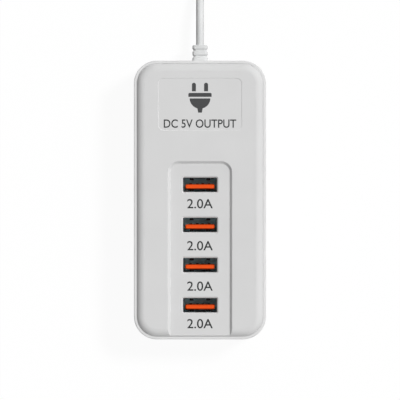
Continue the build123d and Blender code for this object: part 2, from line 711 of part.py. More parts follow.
with BuildPart() as transformer_winding:
    with BuildSketch(bobbin_plane):
        RectangleRounded(
            BOBBIN_WIDTH - 2 * WINDING_INSET, bobbin_height - 2 * WINDING_INSET, WINDING_CORNER_R
        )
        Rectangle(tube_width + 2 * WINDING_FIT, tube_height + 2 * WINDING_FIT, mode=Mode.SUBTRACT)
    extrude(amount=bobbin_half - BOBBIN_WALL - WINDING_FIT, both=True)
save(transformer_winding.part, "transformer_winding")

# Bulk capacitor, lying along the left side with its leads bent down to the board
bulk_x = BULK_SIDE - board_side
bulk_y = board_rear - BULK_REAR
bulk_z = board_top + BULK_LIFT + BULK_R
with BuildPart() as bulk_capacitor:
    with BuildSketch(Plane((bulk_x, bulk_y, bulk_z), x_dir=(1, 0, 0), z_dir=(0, -1, 0))):
        Circle(BULK_R)
    extrude(amount=BULK_LENGTH)
    fillet(bulk_capacitor.edges().filter_by(GeomType.CIRCLE), CAN_EDGE_R)
    with BuildSketch(Plane((bulk_x, bulk_y - CAN_GROOVE_AT, bulk_z), x_dir=(1, 0, 0), z_dir=(0, -1, 0))):
        Circle(BULK_R)
        Circle(BULK_R - CAN_GROOVE, mode=Mode.SUBTRACT)
    extrude(amount=CAN_GROOVE_W, mode=Mode.SUBTRACT)
    for x in (bulk_x - LEAD_SPACING / 2, bulk_x + LEAD_SPACING / 2):
        with BuildLine() as lead:
            FilletPolyline(
                (x, bulk_y, bulk_z),
                (x, bulk_y + LEAD_REACH, bulk_z),
                (x, bulk_y + LEAD_REACH, board_top),
                radius=LEAD_BEND_R,
            )
        with BuildSketch(Plane(lead.line @ 0, z_dir=lead.line % 0)):
            Circle(LEAD_R)
        sweep(path=lead.line)
save(bulk_capacitor.part, "bulk_capacitor")

# Output capacitors, upright in a row on the right
can_x = board_side - OUTPUT_CAN_SIDE
first_can_y = rear_port_y - OUTPUT_CAN_LEAD
can_points = [(can_x, first_can_y - OUTPUT_CAN_PITCH * i) for i in range(OUTPUT_CAN_COUNT)]
with BuildPart() as output_capacitors:
    with BuildSketch(Plane.XY.offset(board_top)):
        with Locations(*can_points):
            Circle(OUTPUT_CAN_R)
    extrude(amount=OUTPUT_CAN_H)
    fillet(output_capacitors.faces().filter_by(Axis.Z).group_by(Axis.Z)[-1].edges(), CAN_EDGE_R)
    with BuildSketch(Plane.XY.offset(board_top + CAN_GROOVE_AT)):
        with Locations(*can_points):
            Circle(OUTPUT_CAN_R)
            Circle(OUTPUT_CAN_R - CAN_GROOVE, mode=Mode.SUBTRACT)
    extrude(amount=CAN_GROOVE_W, mode=Mode.SUBTRACT)
save(output_capacitors.part, "output_capacitors")

# Boxed capacitor across the mains
with BuildPart() as x_capacitor:
    with BuildSketch(Plane.XY.offset(board_top)):
        with Locations((board_side - X_CAP_SIDE, board_rear - X_CAP_REAR)):
            RectangleRounded(X_CAP_SIZE[0], X_CAP_SIZE[1], X_CAP_EDGE_R)
    extrude(amount=X_CAP_SIZE[2])
    fillet(x_capacitor.faces().sort_by(Axis.Z)[-1].edges(), X_CAP_EDGE_R / 2)
save(x_capacitor.part, "x_capacitor")

# Input choke: drum core and the winding between its flanges
choke_x = CHOKE_SIDE - board_side
choke_point = (choke_x, board_rear - CHOKE_REAR)
with BuildPart() as choke_core:
    for z in (board_top, board_top + CHOKE_H - CHOKE_FLANGE_T):
        with BuildSketch(Plane.XY.offset(z)):
            with Locations(choke_point):
                Circle(CHOKE_FLANGE_R)
        extrude(amount=CHOKE_FLANGE_T)
    with BuildSketch(Plane.XY.offset(board_top)):
        with Locations(choke_point):
            Circle(CHOKE_HUB_R)
    extrude(amount=CHOKE_H)
save(choke_core.part, "choke_core")

with BuildPart() as choke_winding:
    with BuildSketch(Plane.XY.offset(board_top + CHOKE_FLANGE_T + CHOKE_FIT)):
        with Locations(choke_point):
            Circle(CHOKE_WINDING_R)
            Circle(CHOKE_HUB_R + CHOKE_FIT, mode=Mode.SUBTRACT)
    extrude(amount=CHOKE_H - 2 * (CHOKE_FLANGE_T + CHOKE_FIT))
save(choke_winding.part, "choke_winding")

# Fuse, beside the choke
with BuildPart() as fuse:
    with BuildSketch(Plane.XY.offset(board_top)):
        with Locations((choke_x + CHOKE_FLANGE_R + FUSE_GAP + FUSE_R, board_rear - FUSE_REAR)):
            Circle(FUSE_R)
    extrude(amount=FUSE_H)
    fillet(fuse.faces().sort_by(Axis.Z)[-1].edges(), FUSE_EDGE_R)
save(fuse.part, "fuse")

# Disc capacitor between the two sides, on its leads
y_cap_x = board_side - Y_CAP_SIDE
y_cap_y = rear_port_y + Y_CAP_LEAD
y_cap_z = board_top + Y_CAP_LIFT + Y_CAP_R
with BuildPart() as y_capacitor:
    with BuildSketch(Plane((y_cap_x, y_cap_y, y_cap_z), x_dir=(1, 0, 0), z_dir=(0, -1, 0))):
        Circle(Y_CAP_R)
    extrude(amount=Y_CAP_T / 2, both=True)
    fillet(y_capacitor.edges().filter_by(GeomType.CIRCLE), Y_CAP_EDGE_R)
    with BuildSketch(Plane.XY.offset(board_top)):
        with Locations(*[(y_cap_x + side * LEAD_SPACING / 2, y_cap_y) for side in (-1, 1)]):
            Circle(LEAD_R)
    extrude(amount=Y_CAP_LIFT + Y_CAP_R)
save(y_capacitor.part, "y_capacitor")


def save_chips(name, points, size, leads_a_side, lead_pitch):
    """Moulded packages on gull-wing leads that stand out along X."""
    width, length, height = size
    waist_z = board_top + CHIP_LIFT + height / 2
    lead_z = board_top + CHIP_LEAD_T / 2
    foot_x = width / 2 + CHIP_LEAD_REACH
    first = -(leads_a_side - 1) / 2
    with BuildPart() as chips:
        for taper_height in (height / 2, -height / 2):
            with BuildSketch(Plane.XY.offset(waist_z)):
                with Locations(*points):
                    Rectangle(width, length)
            extrude(amount=taper_height, taper=CHIP_DRAFT)
        for at_x, at_y in points:
            for i in range(leads_a_side):
                lead_y = at_y + (first + i) * lead_pitch
                with BuildSketch(Plane.XZ.offset(-lead_y)):
                    for side in (-1, 1):
                        with BuildLine():
                            Polyline(
                                (at_x + side * width / 4, waist_z),
                                (at_x + side * (foot_x - CHIP_FOOT), waist_z),
                                (at_x + side * (foot_x - CHIP_FOOT), lead_z),
                                (at_x + side * foot_x, lead_z),
                            )
                        trace(line_width=CHIP_LEAD_T)
                extrude(amount=CHIP_LEAD_W / 2, both=True)
    save(chips.part, name)


bridge_points = [(board_side - BRIDGE_SIDE, board_rear - BRIDGE_REAR)]
controller_points = [(CONTROLLER_X, board_rear - CONTROLLER_REAR)]
opto_points = [(OPTO_X, board_rear - OPTO_REAR)]
port_chip_points = [(PORT_CHIP_X, port_ys[0]), (PORT_CHIP_X, port_ys[-1])]
save_chips("bridge_rectifier", bridge_points, BRIDGE_SIZE, BRIDGE_LEAD_COUNT, BRIDGE_LEAD_PITCH)
save_chips(
    "controller_chip", controller_points, CONTROLLER_SIZE, CONTROLLER_LEAD_COUNT, CONTROLLER_LEAD_PITCH
)
save_chips("optocoupler", opto_points, OPTO_SIZE, OPTO_LEAD_COUNT, OPTO_LEAD_PITCH)
save_chips("port_chips", port_chip_points, PORT_CHIP_SIZE, PORT_CHIP_LEAD_COUNT, PORT_CHIP_LEAD_PITCH)

# Output rectifier: moulded body and metal tab flat on the board, three leads bent down
rectifier_x = RECTIFIER_SIDE - board_side
rectifier_y = port_ys[RECTIFIER_PORT_INDEX]
lead_end_y = rectifier_y - RECTIFIER_LEAD_L
lead_z = board_top + RECTIFIER_LEAD_Z
with BuildPart() as output_rectifier:
    with BuildSketch(Plane.XY.offset(board_top)):
        with Locations((rectifier_x, rectifier_y + RECTIFIER_BODY_L / 2)):
            Rectangle(RECTIFIER_WIDTH, RECTIFIER_BODY_L)
    extrude(amount=RECTIFIER_BODY_T)
    chamfer(output_rectifier.faces().sort_by(Axis.Z)[-1].edges(), RECTIFIER_EDGE)
    with BuildSketch(Plane.XY.offset(board_top)):
        with Locations((rectifier_x, rectifier_y + RECTIFIER_BODY_L + RECTIFIER_TAB_L / 2)):
            Rectangle(RECTIFIER_WIDTH, RECTIFIER_TAB_L)
            Circle(RECTIFIER_TAB_HOLE_R, mode=Mode.SUBTRACT)
    extrude(amount=RECTIFIER_TAB_T)
    for i in (-1, 0, 1):
        with BuildSketch(Plane.YZ.offset(rectifier_x + i * RECTIFIER_LEAD_PITCH)):
            with BuildLine():
                Polyline((rectifier_y, lead_z), (lead_end_y, lead_z), (lead_end_y, board_top))
            trace(line_width=RECTIFIER_LEAD_T)
        extrude(amount=RECTIFIER_LEAD_W / 2, both=True)
    split(bisect_by=Plane.XY.offset(board_top), keep=Keep.TOP)
save(output_rectifier.part, "output_rectifier")

# Cord coil: the ring that the turns fill, with the straight cord that enters and leaves it
coil_y = rear_y + COIL_REAR
coil_base_z = TIE_T + TIE_FIT / 2
coil_top_z = coil_base_z + COIL_HEIGHT
coil_outer_r = COIL_TURN_R + CORD_R + COIL_MARGIN
entry_z = coil_base_z + CORD_R + COIL_MARGIN / 2
exit_z = coil_top_z - CORD_R - COIL_MARGIN / 2
coil_section = Plane((COIL_X, coil_y, 0), x_dir=(1, 0, 0), z_dir=(0, -1, 0))


def turn_point(angle_deg, z):
    """Point of the outermost turn, and the direction of travel there."""
    angle = radians(angle_deg)
    point = Vector(COIL_X + COIL_TURN_R * cos(angle), coil_y + COIL_TURN_R * sin(angle), z)
    return point, Vector(-sin(angle), cos(angle), 0)


entry_point, entry_way = turn_point(COIL_ENTRY_DEG, entry_z)
exit_point, exit_way = turn_point(COIL_EXIT_DEG, exit_z)
with BuildPart() as cord_coil:
    with BuildSketch(coil_section) as ring_section:
        with Locations(((coil_outer_r + COIL_INNER_R) / 2, (coil_base_z + coil_top_z) / 2)):
            Rectangle(coil_outer_r - COIL_INNER_R, COIL_HEIGHT)
        fillet(ring_section.vertices().group_by(Axis.Y)[0], COIL_LOWER_R)
        fillet(ring_section.vertices().group_by(Axis.Y)[-1], COIL_UPPER_R)
    revolve(axis=Axis((COIL_X, coil_y, 0), (0, 0, 1)))
    with BuildSketch(Plane(entry_point, z_dir=entry_way)):
        Circle(CORD_R)
    extrude(amount=-COIL_STUB)
    with BuildSketch(Plane(exit_point, z_dir=exit_way)):
        Circle(CORD_R)
    extrude(amount=COIL_STUB)
save(cord_coil.part, "cord_coil")

# Tie round the coil, on the side away from the cord's ends
tie_inner_r = COIL_INNER_R * cos(TIE_W / 2 / COIL_INNER_R) - TIE_FIT
tie_outer_r = coil_outer_r + TIE_FIT
tie_opening = (tie_outer_r - tie_inner_r, coil_top_z + TIE_FIT - TIE_T)
tie_middle = (-(tie_outer_r + tie_inner_r) / 2, TIE_T + tie_opening[1] / 2)
with BuildPart() as coil_tie:
    with BuildSketch(coil_section):
        with Locations(tie_middle):
            RectangleRounded(tie_opening[0] + 2 * TIE_T, tie_opening[1] + 2 * TIE_T, TIE_CORNER_R + TIE_T)
            RectangleRounded(tie_opening[0], tie_opening[1], TIE_CORNER_R, mode=Mode.SUBTRACT)
    extrude(amount=TIE_W / 2, both=True)
save(coil_tie.part, "coil_tie")

# Plug: ribbed tail, tapered grip and a broad collar at the face, lying on its flat side
plug_z = PLUG_FACE_SIZE[1] / 2 + PLUG_REST
plug_tail_y = coil_y + PLUG_REAR
grip_y = plug_tail_y + PLUG_TAIL_L
face_plug_y = grip_y + PLUG_BODY_L
pin_tilt = atan((PIN_SPACING - PIN_TIP_SPACING) / 2 / PIN_LENGTH)
pin_planes = [
    Plane(
        (PLUG_X + side * PIN_SPACING / 2, face_plug_y, plug_z),
        x_dir=(0, 0, 1),
        z_dir=(-side * sin(pin_tilt), cos(pin_tilt), 0),
    )
    for side in (-1, 1)
]
plug_sections = [
    (grip_y, PLUG_REAR_SIZE),
    (grip_y + PLUG_GRIP_AT, PLUG_GRIP_SIZE),
    (face_plug_y - PLUG_COLLAR_L, PLUG_FACE_SIZE),
]
rib_pitch = PLUG_TAIL_L / PLUG_TAIL_RIBS
with BuildPart() as plug_body:
    for y, (width, height, corner_r) in plug_sections:
        with BuildSketch(Plane((PLUG_X, y, plug_z), x_dir=(1, 0, 0), z_dir=(0, 1, 0))):
            RectangleRounded(width, height, corner_r)
    loft(ruled=True)
    with BuildSketch(Plane((PLUG_X, face_plug_y - PLUG_COLLAR_L, plug_z), x_dir=(1, 0, 0), z_dir=(0, 1, 0))):
        RectangleRounded(*PLUG_FACE_SIZE)
    extrude(amount=PLUG_COLLAR_L)
    with BuildSketch(Plane.YZ.offset(PLUG_X)):
        with BuildLine():
            Polyline(
                (plug_tail_y, plug_z),
                (plug_tail_y, plug_z + PLUG_TAIL_REAR_R),
                (grip_y, plug_z + PLUG_TAIL_FRONT_R),
                (grip_y, plug_z),
                close=True,
            )
        make_face()
    revolve(axis=Axis((PLUG_X, 0, plug_z), (0, 1, 0)))
    for rib in range(1, PLUG_TAIL_RIBS):
        groove_y = plug_tail_y + rib * rib_pitch - PLUG_TAIL_GROOVE / 2
        with BuildSketch(Plane((PLUG_X, groove_y, plug_z), x_dir=(1, 0, 0), z_dir=(0, 1, 0))):
            Circle(2 * PLUG_TAIL_FRONT_R)
            Circle(PLUG_TAIL_REAR_R - PLUG_TAIL_GROOVE / 2, mode=Mode.SUBTRACT)
        extrude(amount=PLUG_TAIL_GROOVE, mode=Mode.SUBTRACT)
    for pin_plane in pin_planes:
        with BuildSketch(pin_plane.offset(PIN_CORE_R)):
            Circle(PIN_CORE_R + PIN_FIT)
        extrude(amount=-PIN_ROOT - PIN_CORE_R, mode=Mode.SUBTRACT)
save(plug_body.part, "plug_body")

with BuildPart() as plug_pins:
    for pin_plane in pin_planes:
        with BuildSketch(pin_plane.offset(-PIN_ROOT)):
            Circle(PIN_CORE_R)
        extrude(amount=PIN_ROOT + SLEEVE_LENGTH)
        with BuildSketch(pin_plane.offset(SLEEVE_LENGTH)):
            Circle(PIN_TIP_R)
        extrude(amount=PIN_LENGTH - SLEEVE_LENGTH)
    fillet(plug_pins.faces().sort_by(Axis.Y)[-2:].edges(), PIN_NOSE_R)
save(plug_pins.part, "plug_pins")

with BuildPart() as plug_sleeves:
    for pin_plane in pin_planes:
        with BuildSketch(pin_plane.offset(SLEEVE_START)):
            Circle(SLEEVE_R)
            Circle(PIN_CORE_R + PIN_FIT, mode=Mode.SUBTRACT)
        extrude(amount=SLEEVE_LENGTH - SLEEVE_START)
save(plug_sleeves.part, "plug_sleeves")

# Cord: from the strain relief down to the coil, and from the coil to the plug
lead_end = entry_point - entry_way * COIL_STUB
lead_drop = RELIEF_HEIGHT - entry_z
lead_route = [
    (0, relief_tip_y, RELIEF_HEIGHT),
    (0, relief_tip_y + LEAD_LEVEL, RELIEF_HEIGHT),
    *[(0, relief_tip_y + along, RELIEF_HEIGHT - share * lead_drop) for along, share in LEAD_SAG],
    tuple(lead_end - entry_way * LEAD_ARRIVAL),
    tuple(lead_end),
]
tail_start = exit_point + exit_way * COIL_STUB
tail_drop = exit_z - plug_z
tail_route = [
    tuple(tail_start),
    tuple(tail_start + exit_way * TAIL_DEPARTURE),
    *[(PLUG_X, plug_tail_y - along, exit_z - share * tail_drop) for along, share in TAIL_SAG],
    (PLUG_X, plug_tail_y - TAIL_LEVEL, plug_z),
    (PLUG_X, plug_tail_y, plug_z),
]
for name, route in (("cord_lead", lead_route), ("cord_tail", tail_route)):
    radii = bend_radii(route)
    volume_ratio = save_tube(name, route, radii, CORD_R)
    print(name, "bend radii", [round(radius, 1) for radius in radii], "volume ratio", round(volume_ratio, 4))
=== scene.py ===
import json
import math

import bpy
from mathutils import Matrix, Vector


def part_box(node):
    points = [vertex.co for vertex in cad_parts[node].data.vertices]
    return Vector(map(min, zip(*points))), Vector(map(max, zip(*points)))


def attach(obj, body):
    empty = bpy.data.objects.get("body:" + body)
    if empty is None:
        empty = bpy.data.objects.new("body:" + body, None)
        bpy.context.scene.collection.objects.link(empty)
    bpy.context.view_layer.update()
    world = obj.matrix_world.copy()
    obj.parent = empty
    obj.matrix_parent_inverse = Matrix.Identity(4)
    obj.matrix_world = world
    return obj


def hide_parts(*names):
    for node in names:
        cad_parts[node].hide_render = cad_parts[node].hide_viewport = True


# Desktop charger seen from straight above, on a white floor. Metres, in the frame of the solids.
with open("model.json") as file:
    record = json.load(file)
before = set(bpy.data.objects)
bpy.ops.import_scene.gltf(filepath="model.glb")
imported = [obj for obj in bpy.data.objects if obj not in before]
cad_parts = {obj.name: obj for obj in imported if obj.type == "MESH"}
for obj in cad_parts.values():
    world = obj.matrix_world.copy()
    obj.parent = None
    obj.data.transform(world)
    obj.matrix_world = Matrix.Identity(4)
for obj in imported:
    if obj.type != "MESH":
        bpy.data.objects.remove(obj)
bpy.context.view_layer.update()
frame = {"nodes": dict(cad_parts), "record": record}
nodes = frame["nodes"]
mounts = {mount["name"]: mount for mount in frame["record"]["mounts"]}
scene = bpy.context.scene
MM = 0.001

# Heights that the frame gives
rim_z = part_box("base_tray")[1][2]
cover_top_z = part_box("top_cover")[1][2]
panel_z = mounts["port_1"]["pos_m"][2]

# Picture
PICTURE_WIDTH = 151.44 * MM  # what the picture takes in, at the rim's height
LENS_MM = 400.0
SENSOR_MM = 36.0

# Light
SUN_FROM = (0.50, 0.31, 0.81)
SUN_STRENGTH = 2.45
SUN_ANGLE_DEG = 12.0
SKY = 0.14
SKY_SIDE = 0.14  # more towards the right, less towards the left
SKY_ENDS = 0.9  # more towards the front and the rear
WHITE = (1.0, 1.0, 1.0, 1.0)

# Floor
FLOOR_REACH = 3.0
FLOOR_Z = -0.1 * MM
FLOOR_GLOW = 0.94  # share of the floor that stays white in the object's shadow
FLOOR_SEEN = 0.97  # the rest's own white
FLOOR_BOUNCE = 0.25  # what the floor gives back to the object

# Housing's colour
HOUSING_GREY = (211, 211, 211)
TRAY_TINT = 1.08  # how much lighter the tray is than the cover

# Stretch of a texture, by axis
EVEN = (1.0, 1.0, 1.0)
ALONG_Y = (1.0, 0.06, 1.0)
ALONG_Z = (1.0, 1.0, 0.06)

# Cord: the route's points outside the coil, then the coil's own sizes
LEAD_POINTS = [
    (0.0, 0.05905, 0.009),
    (0.0, 0.06605, 0.009),
    (0.0, 0.07305, 0.007504),
    (0.0, 0.08305, 0.003696),
    (0.003161, 0.090441, 0.0022),
    (0.008818, 0.096098, 0.0022),
]
TAIL_POINTS = [
    (0.015086, 0.143708, 0.011),
    (0.012336, 0.148471, 0.011),
    (0.0103, 0.1553, 0.009893),
    (0.0103, 0.162, 0.00772),
    (0.0103, 0.1676, 0.0069),
    (0.0103, 0.1726, 0.0069),
]
CORD_R = 1.5 * MM
COIL_CENTRE = (2.1 * MM, 121.2 * MM)
COIL_OUTER_R = 22.5 * MM
COIL_INNER_R = 13.2 * MM
COIL_LOW_Z = 2.2 * MM
COIL_HIGH_Z = 11.0 * MM
COIL_LAYERS = 4
COIL_START_DEG = -45.0
LAYER_DEG = 1080.0
LAST_LAYER_DEG = 1155.0
CLIMB_DEG = 45.0  # either side of the step from one layer to the next
COIL_STEPS = 196

# Ports
PORTS = (1, 2, 3, 4)
BLOCK_TOP_Z = 11.4 * MM
BLOCK_FADE = 0.1 * MM
# Height above which the port sheet carries painted shade, with painted light below it
PAINTED_SHADE_FROM_Z = 17.5 * MM
PAINTED_SHADE_FADE = 0.5 * MM
CONTACT_XS = (-3.5 * MM, -1.0 * MM, 1.0 * MM, 3.5 * MM)
GROOVE_W = 1.3 * MM
GROOVE_DEPTH = 0.35 * MM
TONGUE_FACE = 0.28 * MM  # port's centre to the tongue's rear face
TIP_L = 0.8 * MM
TIP_CHAMFER = 0.3 * MM

# Label recess and its inlay
LABEL_SIZE = (31.8 * MM, 20.0 * MM)
LABEL_CORNER_R = 2.1 * MM
LABEL_Y = 36.2 * MM
LABEL_DEPTH = 0.28 * MM
LABEL_SLOPE = 0.7 * MM
INLAY_DEPTH = 0.13 * MM  # cover's top to the inlay's face
INLAY_LAP = 0.02 * MM  # into the recess's slope

# Print on the cover
PRINT_RISE = 0.02 * MM  # above the face
PRINT_SINK = 0.01 * MM  # into the face
DRAWN_RISE = 0.01  # half the thickness of print as drawn, before it is fitted to its place
RATING = "2.0A"
RATING_WEIGHT = 0.008
RATING_YS = (-1.4 * MM, -17.3 * MM, -32.6 * MM, -46.8 * MM)
RATING_SIZE = (9.7 * MM, 3.57 * MM)
WORDS = "DC 5V OUTPUT"
WORDS_WEIGHT = 0.01
WORDS_Y = 28.9 * MM
WORDS_SIZE = (27.4 * MM, 3.2 * MM)
SYMBOL_Y = 38.7 * MM
SYMBOL_SIZE = (8.8 * MM, 11.3 * MM)


def linear(red, green, blue):
    """Colour as a shader takes it, from the 0 to 255 values of a screen."""
    channels = []
    for value in (red, green, blue):
        share = value / 255
        channels.append(share / 12.92 if share <= 0.04045 else ((share + 0.055) / 1.055) ** 2.4)
    return (*channels, 1.0)


def scaled(colour, factor):
    """The same colour, lighter or darker."""
    return (*[min(1.0, channel * factor) for channel in colour[:3]], 1.0)


def feed(tree, socket, value):
    """Link a socket to another one, or set it to a number or a colour."""
    if isinstance(value, bpy.types.NodeSocket):
        tree.links.new(value, socket)
    else:
        socket.default_value = value


def calculate(tree, operation, *values, clamp=False):
    """Result of an operation on sockets and numbers."""
    node = tree.nodes.new("ShaderNodeMath")
    node.operation = operation
    node.use_clamp = clamp
    for socket, value in zip(node.inputs, values):
        feed(tree, socket, value)
    return node.outputs[0]


def components(tree, vector):
    """The X, Y and Z of a vector."""
    split = tree.nodes.new("ShaderNodeSeparateXYZ")
    feed(tree, split.inputs["Vector"], vector)
    return split.outputs


def between(tree, factor, low, high):
    """A number from low at factor 0 to high at 1."""
    spread = tree.nodes.new("ShaderNodeMapRange")
    feed(tree, spread.inputs["Value"], factor)
    feed(tree, spread.inputs["To Min"], low)
    feed(tree, spread.inputs["To Max"], high)
    return spread.outputs["Result"]


def seen_white(tree):
    """1 where a camera, glossy or transmission ray arrives, else 0."""
    rays = tree.nodes.new("ShaderNodeLightPath").outputs
    first = calculate(tree, "ADD", rays["Is Camera Ray"], rays["Is Glossy Ray"])
    return calculate(tree, "ADD", first, rays["Is Transmission Ray"], clamp=True)


class Surface:
    """A material made of nodes, round one Principled shader. Its textures lie in the object's own metres."""

    def __init__(self, name, metallic=0.0, specular=0.5):
        self.material = bpy.data.materials.new(name)
        self.material.use_nodes = True
        self.tree = self.material.node_tree
        self.shader = self.tree.nodes["Principled BSDF"]
        self.shader.inputs["Metallic"].default_value = metallic
        self.shader.inputs["Specular IOR Level"].default_value = specular
        self.place = self.tree.nodes.new("ShaderNodeTexCoord").outputs["Object"]

    def texture(self, kind, scale, stretch=EVEN):
        """Texture node, drawn out along an axis where stretch is small."""
        mapping = self.tree.nodes.new("ShaderNodeMapping")
        mapping.inputs["Scale"].default_value = stretch
        feed(self.tree, mapping.inputs["Vector"], self.place)
        texture = self.tree.nodes.new(kind)
        texture.inputs["Scale"].default_value = scale
        feed(self.tree, texture.inputs["Vector"], mapping.outputs["Vector"])
        return texture

    def noise(self, scale, detail=3.0, stretch=EVEN):
        """Grey noise, as a factor."""
        texture = self.texture("ShaderNodeTexNoise", scale, stretch)
        texture.inputs["Detail"].default_value = detail
        return texture.outputs["Fac"]

    def vary(self, factor, colour, low, high, stops=(0.3, 0.7)):
        """A colour times low where factor is at the first stop, times high at the second."""
        ramp = self.tree.nodes.new("ShaderNodeValToRGB")
        for element, stop, share in zip(ramp.color_ramp.elements, stops, (low, high)):
            element.position = stop
            element.color = scaled(colour, share)
        feed(self.tree, ramp.inputs["Fac"], factor)
        return ramp.outputs["Color"]

    def mix(self, factor, low, high):
        """A colour from low at factor 0 to high at 1."""
        mix = self.tree.nodes.new("ShaderNodeMix")
        mix.data_type = "RGBA"
        for name, value in (("Factor", factor), ("A", low), ("B", high)):
            feed(self.tree, mix.inputs[name], value)
        return mix.outputs["Result"]

    def level(self, value, low, high):
        """0 below low, 1 above high."""
        rise = self.tree.nodes.new("ShaderNodeMapRange")
        rise.inputs["From Min"].default_value = low
        rise.inputs["From Max"].default_value = high
        feed(self.tree, rise.inputs["Value"], value)
        return rise.outputs["Result"]

    def colour(self, socket):
        """What the surface's colour follows."""
        feed(self.tree, self.shader.inputs["Base Color"], socket)

    def rough(self, factor, low, high):
        """Roughness from low to high, by factor."""
        feed(self.tree, self.shader.inputs["Roughness"], between(self.tree, factor, low, high))

    def relief(self, factor, depth, strength):
        """Bumps of that depth in metres."""
        bump = self.tree.nodes.new("ShaderNodeBump")
        bump.inputs["Distance"].default_value = depth
        bump.inputs["Strength"].default_value = strength
        feed(self.tree, bump.inputs["Height"], factor)
        feed(self.tree, self.shader.inputs["Normal"], bump.outputs["Normal"])


def moulded(name, colour, rough=(0.55, 0.7), grain=5200.0, depth=0.006 * MM, spread=0.015):
    """Moulded plastic: fine spark-eroded grain and a little cloudiness."""
    surface = Surface(name, specular=0.2)
    fine = surface.noise(scale=grain, detail=2.0)
    cloud = surface.noise(scale=60.0)
    surface.colour(surface.vary(cloud, colour, low=1 - spread, high=1 + spread))
    surface.rough(fine, *rough)
    surface.relief(fine, depth, strength=0.5)
    return surface.material


def streaks(surface, stretch):
    """Fine streaks along one axis, as a factor, with their relief."""
    streak = surface.noise(scale=4200.0, detail=4.0, stretch=stretch)
    surface.relief(streak, depth=0.002 * MM, strength=0.4)
    return streak


def plated(name, colour, rough=(0.25, 0.4), stretch=ALONG_Z):
    """Plated or drawn metal with fine streaks."""
    surface = Surface(name, metallic=1.0)
    streak = streaks(surface, stretch)
    surface.colour(surface.vary(streak, colour, low=0.88, high=1.12))
    surface.rough(streak, *rough)
    return surface.material


def banded(name, colour, scale, axis, metallic=0.0):
    """Layers of tape or turns of wire: fine bands across one axis."""
    surface = Surface(name, metallic=metallic)
    wave = surface.texture("ShaderNodeTexWave", scale)
    wave.bands_direction = axis
    wave.inputs["Distortion"].default_value = 0.6
    band = wave.outputs["Fac"]
    surface.colour(surface.vary(band, colour, low=0.75, high=1.25, stops=(0.1, 0.9)))
    surface.rough(band, low=0.3, high=0.45)
    surface.relief(band, depth=0.05 * MM, strength=0.6)
    return surface.material


def port_insulator():
    """Orange tongue, with painted shade on its broad sides, on a grey block at the foot of the port."""
    surface = Surface("port_orange", specular=0.2)
    cloud = surface.noise(scale=500.0)
    tip = surface.vary(cloud, linear(238, 82, 8), low=0.95, high=1.03)
    # Painted shade: a darker orange on the faces that turn to the front and the rear
    painted_shade_side = linear(168, 54, 7)
    block = linear(206, 244, 250)
    normal = surface.tree.nodes.new("ShaderNodeNewGeometry").outputs["Normal"]
    slant = calculate(surface.tree, "ABSOLUTE", components(surface.tree, normal)["Y"])
    # The broad sides and their chamfers take the painted shade
    tongue = surface.mix(surface.level(slant, low=0.3, high=0.6), tip, painted_shade_side)
    height = components(surface.tree, surface.place)["Z"]
    above = surface.level(height, BLOCK_TOP_Z, BLOCK_TOP_Z + BLOCK_FADE)
    surface.colour(surface.mix(above, block, tongue))
    surface.rough(cloud, low=0.45, high=0.6)
    return surface.material


def port_sheet():
    """Plated sheet of a port: painted shade at the mouth and on the spring fingers, painted light in the
    depth.
    """
    surface = Surface("port_shell", metallic=1.0)
    streak = streaks(surface, ALONG_Z)
    height = components(surface.tree, surface.place)["Z"]
    painted_shade_share = surface.level(height, PAINTED_SHADE_FROM_Z - PAINTED_SHADE_FADE, PAINTED_SHADE_FROM_Z)
    # Painted light deep in the port, painted shade at the mouth and on the spring fingers
    surface.colour(surface.mix(painted_shade_share, low=linear(240, 248, 250), high=linear(64, 70, 72)))
    surface.rough(streak, low=0.5, high=0.65)
    return surface.material


def circuit_mask():
    """Green solder mask over copper tracks."""
    surface = Surface("circuit_mask")
    tracks = surface.texture("ShaderNodeTexVoronoi", scale=320.0)
    tracks.feature = "DISTANCE_TO_EDGE"
    tracks.distance = "MANHATTAN"
    edge = tracks.outputs["Distance"]
    surface.colour(surface.vary(edge, linear(24, 92, 52), low=1.5, high=1.0, stops=(0.04, 0.09)))
    surface.rough(surface.noise(scale=900.0), low=0.25, high=0.4)
    surface.relief(edge, depth=0.02 * MM, strength=0.3)
    return surface.material


def sheath():
    """Soft cord sheath: satin, with a faint drawn grain."""
    surface = Surface("cord_sheath", specular=0.25)
    drawn = surface.noise(scale=2600.0, detail=2.0)
    cloud = surface.noise(scale=90.0)
    surface.colour(surface.vary(cloud, linear(216, 217, 217), low=0.97, high=1.02))
    surface.rough(drawn, low=0.4, high=0.55)
    surface.relief(drawn, depth=0.006 * MM, strength=0.4)
    return surface.material


def strap():
    """Woven strap of the coil's tie."""
    surface = Surface("tie_strap", specular=0.3)
    weave = surface.texture("ShaderNodeTexChecker", scale=2200.0).outputs["Fac"]
    surface.colour(surface.vary(weave, linear(38, 39, 41), low=0.7, high=1.3, stops=(0.0, 1.0)))
    surface.rough(surface.noise(scale=3000.0), low=0.6, high=0.8)
    surface.relief(weave, depth=0.04 * MM, strength=0.7)
    return surface.material


def ink(name, colour):
    """Dark grey pad print."""
    surface = Surface(name, specular=0.25)
    speckle = surface.noise(scale=7000.0, detail=2.0)
    surface.colour(surface.vary(speckle, colour, low=0.92, high=1.08, stops=(0.35, 0.65)))
    surface.rough(speckle, low=0.5, high=0.65)
    return surface.material


def paint(material, *names):
    """Give CAD nodes a material."""
    for name in names:
        mesh = nodes[name].data
        mesh.materials.clear()
        mesh.materials.append(material)


def of_each_port(name):
    """The nodes of that name, one for each port."""
    return [f"{name}_{number}" for number in PORTS]


def paint_housing():
    """The two halves, the screws and the ports."""
    grey = linear(*HOUSING_GREY)
    contact_metal = plated("contact_metal", linear(34, 32, 32), rough=(0.4, 0.55))
    paint(moulded("cover_plastic", grey), "top_cover")
    paint(moulded("tray_plastic", scaled(grey, TRAY_TINT)), "base_tray")
    paint(plated("screw_zinc", linear(168, 170, 172)), "case_screws")
    paint(port_insulator(), *of_each_port("usb_insulator"))
    paint(port_sheet(), *of_each_port("usb_shell"))
    paint(contact_metal, *of_each_port("usb_contacts"))


